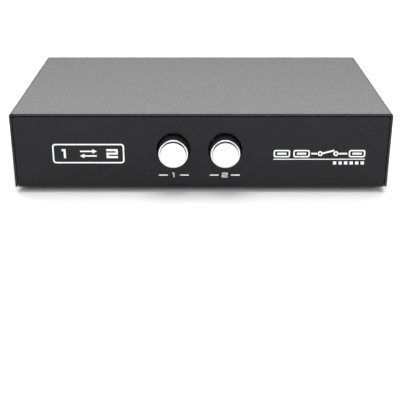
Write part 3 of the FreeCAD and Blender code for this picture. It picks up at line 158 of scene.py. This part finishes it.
class Look:
    """One procedural material. Its patterns are laid out in metres on the object."""

    def __init__(self, name, metallic=0.0, specular=0.5, coat=0.0):
        self.material = bpy.data.materials.new(name)
        self.material.use_nodes = True
        self.tree = self.material.node_tree
        self.nodes = self.tree.nodes
        self.links = self.tree.links
        self.shader = self.nodes["Principled BSDF"]
        self.shader.inputs["Metallic"].default_value = metallic
        self.shader.inputs["Specular IOR Level"].default_value = specular
        self.shader.inputs["Coat Weight"].default_value = coat
        self.place = self.nodes.new("ShaderNodeTexCoord").outputs["Object"]

    def node(self, kind, inputs, **settings):
        made = self.nodes.new(kind)
        for key, value in settings.items():
            setattr(made, key, value)
        for key, value in inputs.items():
            feed(self.tree, made.inputs[key], value)
        return made

    def noise(self, scale, detail=4.0, stretch=(1, 1, 1)):
        """Cloudy noise from 0 to 1, with scale cells to the metre."""
        place = self.place
        if stretch != (1, 1, 1):
            place = self.node("ShaderNodeMapping", {"Vector": place, "Scale": stretch})
            place = place.outputs["Vector"]
        inputs = {"Vector": place, "Scale": scale, "Detail": detail}
        return self.node("ShaderNodeTexNoise", inputs).outputs["Fac"]

    def spread(self, value, low, high, start=0.3, end=0.7):
        """Maps start..end of a value to low..high."""
        inputs = {"Value": value, "From Min": start, "From Max": end}
        inputs.update({"To Min": low, "To Max": high})
        return self.node("ShaderNodeMapRange", inputs).outputs["Result"]

    def blend(self, factor, one, two):
        """Mixes two colours, each a socket or a triple, by a factor from 0 to 1."""
        made = self.node("ShaderNodeMix", {"Factor": factor}, data_type="RGBA")
        for place, value in zip(MIX_COLOURS, (one, two)):
            value = (*value, 1.0) if isinstance(value, tuple) else value
            feed(self.tree, made.inputs[place], value)
        return made.outputs[MIX_RESULT]

    def math(self, operation, one, two):
        made = self.node("ShaderNodeMath", {0: one, 1: two}, operation=operation)
        return made.outputs["Value"]

    def bump(self, height, depth, strength=1.0):
        """Raises the surface by up to depth metres."""
        inputs = {"Height": height, "Distance": depth, "Strength": strength}
        normal = self.node("ShaderNodeBump", inputs).outputs["Normal"]
        self.links.new(normal, self.shader.inputs["Normal"])

    def colour(self, value):
        self.links.new(value, self.shader.inputs["Base Color"])

    def roughness(self, value):
        self.links.new(value, self.shader.inputs["Roughness"])


PEEL_SCALE = 2600


def coated(name, dark, light, rough, specular):
    """Powder coat: fine orange peel, faint cloudiness, a little dust and some fine scuffs."""
    look = Look(name, specular=specular)
    cloud = look.spread(look.noise(scale=45, detail=3), 0, 1)
    base = look.blend(cloud, dark, light)
    dust = look.spread(look.noise(scale=5200, detail=2), 0, 0.22, start=0.66, end=0.76)
    base = look.blend(dust, base, DUST)
    scuff = look.noise(scale=160, detail=6, stretch=(1, 9, 5))
    scuff = look.spread(scuff, 0, 0.5, start=0.64, end=0.74)
    look.colour(look.blend(look.math("MULTIPLY", scuff, 0.08), base, SCUFFED))
    fine = look.spread(look.noise(scale=900, detail=3), rough - 0.03, rough + 0.04)
    look.roughness(look.math("ADD", fine, look.math("MULTIPLY", scuff, 0.06)))
    grain = look.noise(scale=PEEL_SCALE, detail=2)
    grain = look.spread(grain, specular * 0.7, specular * 1.3)
    look.links.new(grain, look.shader.inputs["Specular IOR Level"])
    look.bump(look.noise(scale=PEEL_SCALE, detail=3), depth=0.03 * MM, strength=0.5)
    return look.material


def tarnish(look):
    """Mottling of a metal surface, from 0 where it is bright to 1."""
    return look.spread(look.noise(scale=420, detail=5), 0, 1, start=0.42, end=0.78)


def metal(name, colour, tint, rough, grain, stretch=(1, 1, 1), depth=0.01):
    """Plated or drawn metal: a grain that can have a direction, depth mm deep, and tarnish."""
    look = Look(name, metallic=1.0)
    look.colour(look.blend(tarnish(look), colour, tint))
    lines = look.noise(scale=grain, detail=3, stretch=stretch)
    look.roughness(look.spread(lines, rough - 0.06, rough + 0.08))
    look.bump(lines, depth=depth * MM, strength=0.3)
    return look.material


def plated(name, mouth_y):
    """Warm bright plate, darkened by painted shade with depth inside a socket, behind its mouth."""
    look = Look(name, metallic=1.0)
    bright = look.blend(tarnish(look), *NICKEL)
    split = look.node("ShaderNodeSeparateXYZ", {"Vector": look.place})
    deep, shallow = (mouth_y - depth * MM for depth in SHADE_DEPTHS)
    # painted shade: the plate's colour darkens towards the back of the socket, where shade falls
    shade = look.spread(split.outputs["Y"], 1, 0, deep, shallow)
    look.colour(look.blend(shade, bright, SOCKET_PAINTED_SHADE))
    lines = look.noise(scale=1500, detail=3, stretch=(1, 1, 7))
    look.roughness(look.spread(lines, 0.26, 0.42))
    look.bump(lines, depth=0.01 * MM, strength=0.3)
    return look.material


def moulded(name, colour, other, rough, specular=0.5, grain=3500, depth=0.02):
    """Moulded plastic or rubber: grain depth mm deep, flow shading and rubbed patches."""
    look = Look(name, specular=specular)
    flow = look.spread(look.noise(scale=120, detail=4), 0, 1)
    look.colour(look.blend(flow, colour, other))
    rubbed = look.spread(look.noise(scale=700, detail=3), rough - 0.05, rough + 0.06)
    look.roughness(rubbed)
    look.bump(look.noise(scale=grain, detail=2), depth=depth * MM, strength=0.4)
    return look.material


def spun(name, centre):
    """Bright cap: rings left by spinning round the cap's own axis, and painted shade on the step
    between face and rim.
    """
    look = Look(name, metallic=1.0)
    inputs = {0: look.place, 1: tuple(-value for value in centre)}
    moved = look.node("ShaderNodeVectorMath", inputs, operation="ADD").outputs["Vector"]
    inputs = {0: moved, 1: (1, 0, 1)}
    flat = look.node("ShaderNodeVectorMath", inputs, operation="MULTIPLY").outputs["Vector"]
    radius = look.node("ShaderNodeVectorMath", {0: flat}, operation="LENGTH").outputs["Value"]
    tracks = look.node("ShaderNodeCombineXYZ", {"X": radius}).outputs["Vector"]
    rings = look.node("ShaderNodeTexNoise", {"Vector": tracks, "Scale": 9000, "Detail": 4})
    rings = rings.outputs["Fac"]
    breath = look.spread(look.noise(scale=520, detail=4), 0, 1, start=0.35, end=0.75)
    bright = look.blend(breath, (0.84, 0.84, 0.85), (0.77, 0.77, 0.785))
    start = [(FACE_RADIUS + offset) * MM for offset in STEP_START]
    end = [(FACE_RADIUS + offset) * MM for offset in STEP_END]
    # painted shade: the step wall round the proud face is coloured dark, as the shade seen there
    step = look.math("MULTIPLY", look.spread(radius, 0, 1, *start), look.spread(radius, 1, 0, *end))
    look.colour(look.blend(step, bright, STEP_PAINTED_SHADE))
    rough = look.spread(rings, 0.14, 0.2)
    look.roughness(look.math("ADD", rough, look.math("MULTIPLY", breath, 0.05)))
    look.bump(rings, depth=0.006 * MM, strength=0.35)
    return look.material


def laminate(name):
    """Solder mask over woven glass laminate, with paler copper areas under the mask."""
    look = Look(name, specular=0.5, coat=0.25)
    inputs = {"Vector": look.place, "Scale": 950.0}
    weave = look.node("ShaderNodeTexVoronoi", inputs, distance="CHEBYCHEV").outputs["Distance"]
    copper = look.noise(scale=170, detail=1, stretch=(1, 3, 1))
    copper = look.spread(copper, 0, 1, start=0.5, end=0.53)
    green = look.blend(copper, (0.004, 0.022, 0.011), (0.008, 0.045, 0.018))
    look.colour(look.blend(look.spread(weave, 0, 0.25, start=0, end=1), green, WEAVE))
    look.roughness(look.spread(look.noise(scale=900, detail=3), 0.22, 0.34))
    relief = look.math("ADD", copper, look.math("MULTIPLY", weave, 0.2))
    look.bump(relief, depth=0.03 * MM, strength=0.5)
    return look.material


def ink(name):
    """Screen ink: thin spots where the mesh of the screen shows, and soft wear."""
    look = Look(name, specular=0.35)
    mesh_marks = look.noise(scale=5200, detail=2)
    worn = look.spread(look.noise(scale=330, detail=5), 0, 1, start=0.6, end=0.85)
    fresh = look.blend(look.spread(mesh_marks, 0, 1), (0.9, 0.9, 0.89), (0.84, 0.84, 0.84))
    look.colour(look.blend(worn, fresh, WORN_INK))
    look.roughness(look.spread(mesh_marks, 0.42, 0.6))
    look.bump(mesh_marks, depth=0.008 * MM, strength=0.4)
    return look.material


PAINT = {
    "case_paint": coated(
        "case_paint", (0.006, 0.006, 0.0075), (0.008, 0.008, 0.011), rough=0.16, specular=0.22
    ),
    "cover_paint": coated(
        "cover_paint", (0.007, 0.007, 0.0085), (0.009, 0.009, 0.0115), rough=0.24, specular=0.36
    ),
    "screw_black": metal(
        "screw_black", (0.09, 0.09, 0.1), (0.05, 0.05, 0.05), rough=0.36, grain=3000
    ),
    "zinc_steel": metal(
        "zinc_steel",
        (0.66, 0.68, 0.72),
        (0.5, 0.53, 0.6),
        rough=0.3,
        grain=1400,
        stretch=(1, 6, 1),
    ),
    "foot_rubber": moulded(
        "foot_rubber",
        (0.018, 0.018, 0.018),
        (0.03, 0.03, 0.03),
        rough=0.72,
        specular=0.3,
        grain=2600,
        depth=0.04,
    ),
    "board_green": laminate("board_green"),
    "solder": metal(
        "solder", (0.72, 0.73, 0.75), (0.5, 0.5, 0.52), rough=0.28, grain=1800, depth=0.03
    ),
    "port_plate": metal("port_plate", *NICKEL, rough=0.33, grain=1500, stretch=(1, 1, 7)),
    "port_insulator": moulded(
        "port_insulator", (0.72, 0.72, 0.71), (0.66, 0.66, 0.65), rough=0.42
    ),
    # painted shade: the well gets a dark grey, as its white plastic looks in the shade inside the
    # socket
    "port_well": moulded("port_well", (0.085, 0.08, 0.095), (0.11, 0.1, 0.12), rough=0.5),
    "contact_gold": metal(
        "contact_gold", (0.9, 0.68, 0.3), (0.75, 0.52, 0.22), rough=0.26, grain=2600
    ),
    "terminal_tin": metal(
        "terminal_tin", (0.74, 0.74, 0.73), (0.58, 0.58, 0.58), rough=0.34, grain=2200
    ),
    "switch_body": moulded(
        "switch_body", (0.02, 0.02, 0.022), (0.032, 0.032, 0.034), rough=0.48
    ),
    "plunger_plastic": moulded(
        "plunger_plastic", (0.78, 0.75, 0.66), (0.7, 0.67, 0.58), rough=0.4
    ),
    "spring_steel": metal(
        "spring_steel",
        (0.56, 0.56, 0.58),
        (0.42, 0.42, 0.44),
        rough=0.28,
        grain=5200,
        stretch=(1, 8, 1),
    ),
    "knob_black": moulded(
        "knob_black",
        (0.011, 0.011, 0.012),
        (0.016, 0.016, 0.017),
        rough=0.3,
        specular=0.26,
        grain=5200,
        depth=0.01,
    ),
    "print_white": ink("print_white"),
}
SHADED_PLATE = plated("port_plate_shaded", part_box("device_port_shell")[1].y)
SLOTS = {row["node"]: row["material_slot"] for row in frame["record"]["subparts"]}

for node, piece in frame["nodes"].items():
    paint = SHADED_PLATE if node == "device_port_shell" else PAINT.get(SLOTS[node])
    if paint:
        for place in piece.material_slots:
            place.material = paint


def stand_for(piece, body, slot, material, *nodes):
    """Puts a finer piece in the place of CAD nodes and makes it move with their body."""
    piece.data.materials.append(material)
    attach(piece, body)
    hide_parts(*nodes)


# Buttons ---------------------------------------------------------------

CAP_RADIUS = 4.25
CAP_SKIRT = 1.6
CAP_WALL = 0.28
CAP_STEP = 0.9
CAP_FLOOR = CAP_STEP + CAP_WALL
CAP_GAP = 0.05
FACE_RADIUS = 3.75
FACE_ROUND = 0.06
RIM_ROUND = 0.12
KNOB_RADIUS = 4.4
KNOB_LENGTH = 8.6
KNOB_BACK_ROUND = 0.3
KNOB_FRONT_RADIUS = 4.32
KNOB_FRONT_ROUND = 0.08
CORE_DEPTH = 5.5
CORE_RADII = (2.9, 3.5)
CORE_GAP = 0.02
STEM_BORE = 2.3
STEM_RECESS = 1.8


def button_cap(name, place):
    """A flat face that stands proud of a narrow rim, with a skirt round the knob's spigot."""
    inner = CAP_RADIUS - CAP_WALL
    section = [
        (0, 0),
        (FACE_RADIUS, 0),
        (FACE_RADIUS, CAP_STEP),
        (CAP_RADIUS, CAP_STEP),
        (CAP_RADIUS, CAP_SKIRT),
        (inner, CAP_SKIRT),
        (inner, CAP_FLOOR),
        (0, CAP_FLOOR),
    ]
    return lathe(name, rounded(section, {1: FACE_ROUND, 3: RIM_ROUND}), place)


def button_knob(name, place):
    """A tapered knob, cored from behind, with a spigot in front and a bore for its stem."""
    spigot = CAP_RADIUS - CAP_WALL - CORE_GAP
    shoulder = CAP_SKIRT + CAP_GAP
    section = [
        (0, CAP_FLOOR),
        (spigot, CAP_FLOOR),
        (spigot, shoulder),
        (KNOB_FRONT_RADIUS, shoulder),
        (KNOB_RADIUS, KNOB_LENGTH),
        (CORE_RADII[1], KNOB_LENGTH),
        (CORE_RADII[1], KNOB_LENGTH - CORE_DEPTH),
        (CORE_RADII[0], KNOB_LENGTH - CORE_DEPTH),
        (CORE_RADII[0], KNOB_LENGTH),
        (STEM_BORE, KNOB_LENGTH),
        (STEM_BORE, STEM_RECESS),
        (0, STEM_RECESS),
    ]
    return lathe(name, rounded(section, {3: KNOB_FRONT_ROUND, 4: KNOB_BACK_ROUND}), place)


for n in (1, 2):
    low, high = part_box(f"button_{n}_cap")
    centre = (low + high) / 2
    place = facing((0, 1, 0), Vector((centre.x, low.y, centre.z)))
    cap = button_cap(f"cap_{n}", place)
    bright = spun(f"cap_silver_{n}", centre)
    stand_for(cap, f"button_{n}", "cap_silver", bright, f"button_{n}_cap")
    knob = button_knob(f"knob_{n}", place)
    stand_for(knob, f"button_{n}", "knob_black", PAINT["knob_black"], f"button_{n}_knob")

# Feet ------------------------------------------------------------------

FOOT_HEIGHT = 1.5
FOOT_RADIUS = 4.0
FOOT_ROUND = 0.3
FOOT_SOLE_RADIUS = 3.8
DISH_DEPTH = 0.12
DISH_RADIUS = 2.7
DISH_MOUTH_RADIUS = 2.5
FOOT_X = 45.0
FOOT_Y = 22.0
MIDDLE_Y = (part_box("top_cover")[0].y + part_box("top_cover")[1].y) / 2


def rubber_foot(name, place):
    """A round foot with a shallow dish in its sole."""
    section = [
        (0, DISH_DEPTH),
        (DISH_RADIUS, DISH_DEPTH),
        (DISH_MOUTH_RADIUS, 0),
        (FOOT_SOLE_RADIUS, 0),
        (FOOT_RADIUS, FOOT_HEIGHT),
        (0, FOOT_HEIGHT),
    ]
    return lathe(name, rounded(section, {3: FOOT_ROUND}), place)


for n, (side, end) in enumerate(((-1, -1), (1, -1), (-1, 1), (1, 1)), start=1):
    at = Vector((side * FOOT_X * MM, MIDDLE_Y + end * FOOT_Y * MM, 0))
    foot = rubber_foot(f"foot_{n}", facing((0, 0, 1), at))
    stand_for(foot, "case", "foot_rubber", PAINT["foot_rubber"], "rubber_feet")

# Cover screws ----------------------------------------------------------

HEAD_RADIUS = 2.7
HEAD_HEIGHT = 1.6
HEAD_SIDE = 0.75
HEAD_SIDE_ROUND = 0.45
CROWN_RADIUS = 1.7
CROWN_ROUND = 0.8
SHANK_RADIUS = 1.4
SHANK_LENGTH = 5.0
TIP_RADIUS = 1.1
TIP_LENGTH = 0.4
RECESS_LENGTH = 2.8
RECESS_WIDTH = 0.6
RECESS_DEPTH = 0.9
RECESS_TAPER = 0.55
RECESS_PAST = 0.1
COVER_SCREW_Y = 19.0
SCREW_Z = (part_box("cover_screws")[0].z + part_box("cover_screws")[1].z) / 2


def pan_head_screw(name, place):
    """A screw whose head stands on the placement's origin, with its shank below."""
    section = [
        (0, -SHANK_LENGTH),
        (TIP_RADIUS, -SHANK_LENGTH),
        (SHANK_RADIUS, -SHANK_LENGTH + TIP_LENGTH),
        (SHANK_RADIUS, 0),
        (HEAD_RADIUS, 0),
        (HEAD_RADIUS, HEAD_SIDE),
        (CROWN_RADIUS, HEAD_HEIGHT),
        (0, HEAD_HEIGHT),
    ]
    return lathe(name, rounded(section, {5: HEAD_SIDE_ROUND, 6: CROWN_ROUND}), place)


def cross_cut(piece, place):
    """Cuts the cross recess into a screw head: two slots, each narrower across at its floor."""
    for across, along in ((RECESS_LENGTH, RECESS_WIDTH), (RECESS_WIDTH, RECESS_LENGTH)):
        cutter = bpy.data.meshes.new("recess")
        work = bmesh.new()
        bmesh.ops.create_cube(work, size=1)
        for corner in work.verts:
            x, y, z = corner.co
            if z > 0:
                taper, height = 1.0, HEAD_HEIGHT + RECESS_PAST
            else:
                taper, height = RECESS_TAPER, HEAD_HEIGHT - RECESS_DEPTH
            corner.co = Vector((x * across * taper, y * along, height)) * MM
        work.to_mesh(cutter)
        work.free()
        cutter.transform(place)
        tool = bpy.data.objects.new("recess", cutter)
        bpy.context.scene.collection.objects.link(tool)
        change = piece.modifiers.new("recess", "BOOLEAN")
        change.operation = "DIFFERENCE"
        change.solver = "EXACT"
        change.object = tool
        evaluated = piece.evaluated_get(bpy.context.evaluated_depsgraph_get())
        shape = bpy.data.meshes.new_from_object(evaluated)
        piece.modifiers.clear()
        piece.data = shape
        bpy.data.objects.remove(tool)
    piece.data.set_sharp_from_angle(angle=SMOOTH_ANGLE)


for n, (side, end) in enumerate(((-1, -1), (-1, 1), (1, -1), (1, 1)), start=1):
    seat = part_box("top_cover")[0 if side < 0 else 1].x
    at = Vector((seat, MIDDLE_Y + end * COVER_SCREW_Y * MM, SCREW_Z))
    place = facing((side, 0, 0), at)
    screw = pan_head_screw(f"cover_screw_{n}", place)
    cross_cut(screw, place)
    stand_for(screw, "case", "screw_black", PAINT["screw_black"], "cover_screws")

# Floor -----------------------------------------------------------------

FLOOR_SIDE = 6.0
FLOOR_TONES = ((0.76, 0.76, 0.76), (0.74, 0.74, 0.74))

bpy.ops.mesh.primitive_plane_add(size=FLOOR_SIDE, location=(0, 0, 0))
floor = bpy.context.object
floor.name = "floor"
paper = Look("floor", specular=0.2)
clouds = paper.spread(paper.noise(scale=9, detail=3), 0, 1)
paper.colour(paper.blend(clouds, *FLOOR_TONES))
paper.roughness(paper.spread(paper.noise(scale=60, detail=3), 0.7, 0.8))
floor.data.materials.append(paper.material)

# Light -----------------------------------------------------------------

# The sky is nearly black, but for a broad band at half height that the case reflects,
# a patch overhead that lights the floor evenly, and a glow at the horizon behind the
# floor's far edge. First the strengths, then the spans over which each part comes and
# goes, as components of a direction of length 1.
SKY_REST = 0.06
SKY_BAND = 3.8
SKY_ZENITH = 5.3
SKY_HORIZON = 0.9
BAND_RISES = (0.17, 0.45)
BAND_FADES = (0.6, 0.82)
BAND_SIDES = (0.35, 0.8)
BAND_TURNS = (-0.2, 0.2)
BAND_IN_FRONT = 0.8
ZENITH_RISES = (0.84, 0.92)
HORIZON_FADES = (0.02, 0.1)

world = bpy.data.worlds.new("studio")
bpy.context.scene.world = world
world.use_nodes = True
air = world.node_tree


def sky_step(value, span, low, high):
    """A smooth step from low to high, over a span of one component of the direction."""
    step = air.nodes.new("ShaderNodeMapRange")
    step.interpolation_type = "SMOOTHSTEP"
    keys = ("Value", "From Min", "From Max", "To Min", "To Max")
    for key, number in zip(keys, (value, *span, low, high)):
        feed(air, step.inputs[key], number)
    return step.outputs["Result"]


def sky_math(operation, one, two):
    made = air.nodes.new("ShaderNodeMath")
    made.operation = operation
    feed(air, made.inputs[0], one)
    feed(air, made.inputs[1], two)
    return made.outputs["Value"]


way = air.nodes.new("ShaderNodeTexCoord").outputs["Generated"]
split = air.nodes.new("ShaderNodeSeparateXYZ")
air.links.new(way, split.inputs["Vector"])
sideways = sky_math("ABSOLUTE", split.outputs["X"], 0.0)
height = split.outputs["Z"]
band = sky_math("MULTIPLY", sky_step(height, BAND_RISES, 0, 1), sky_step(height, BAND_FADES, 1, 0))
band = sky_math("MULTIPLY", band, sky_step(sideways, BAND_SIDES, 1, 0))
band = sky_math("MULTIPLY", band, sky_step(split.outputs["Y"], BAND_TURNS, BAND_IN_FRONT, 1))
glow = sky_math("ADD", sky_math("MULTIPLY", band, SKY_BAND), SKY_REST)
glow = sky_math("ADD", glow, sky_step(height, ZENITH_RISES, 0, SKY_ZENITH))
glow = sky_math("ADD", glow, sky_step(height, HORIZON_FADES, SKY_HORIZON, 0))
sky = air.nodes["Background"]
sky.inputs["Color"].default_value = (1, 1, 1, 1)
air.links.new(glow, sky.inputs["Strength"])

# Camera ----------------------------------------------------------------

# The place is in metres, the dip below level in degrees, and the lens in mm.
CAMERA_PLACE = (-0.0003, -0.2417, 0.0985)
CAMERA_DIP = 22.46
CAMERA_SENSOR = 36.0
CAMERA_LENS = 70.93
CAMERA_SHIFT = -0.1
CAMERA_NEAR = 0.01

lens = bpy.data.cameras.new("camera")
lens.sensor_width = CAMERA_SENSOR
lens.lens = CAMERA_LENS
lens.shift_y = CAMERA_SHIFT
lens.clip_start = CAMERA_NEAR
camera = bpy.data.objects.new("camera", lens)
camera.location = CAMERA_PLACE
camera.rotation_euler = (math.radians(90 - CAMERA_DIP), 0, 0)
bpy.context.scene.collection.objects.link(camera)
bpy.context.scene.camera = camera
bpy.context.scene.view_settings.view_transform = "Standard"
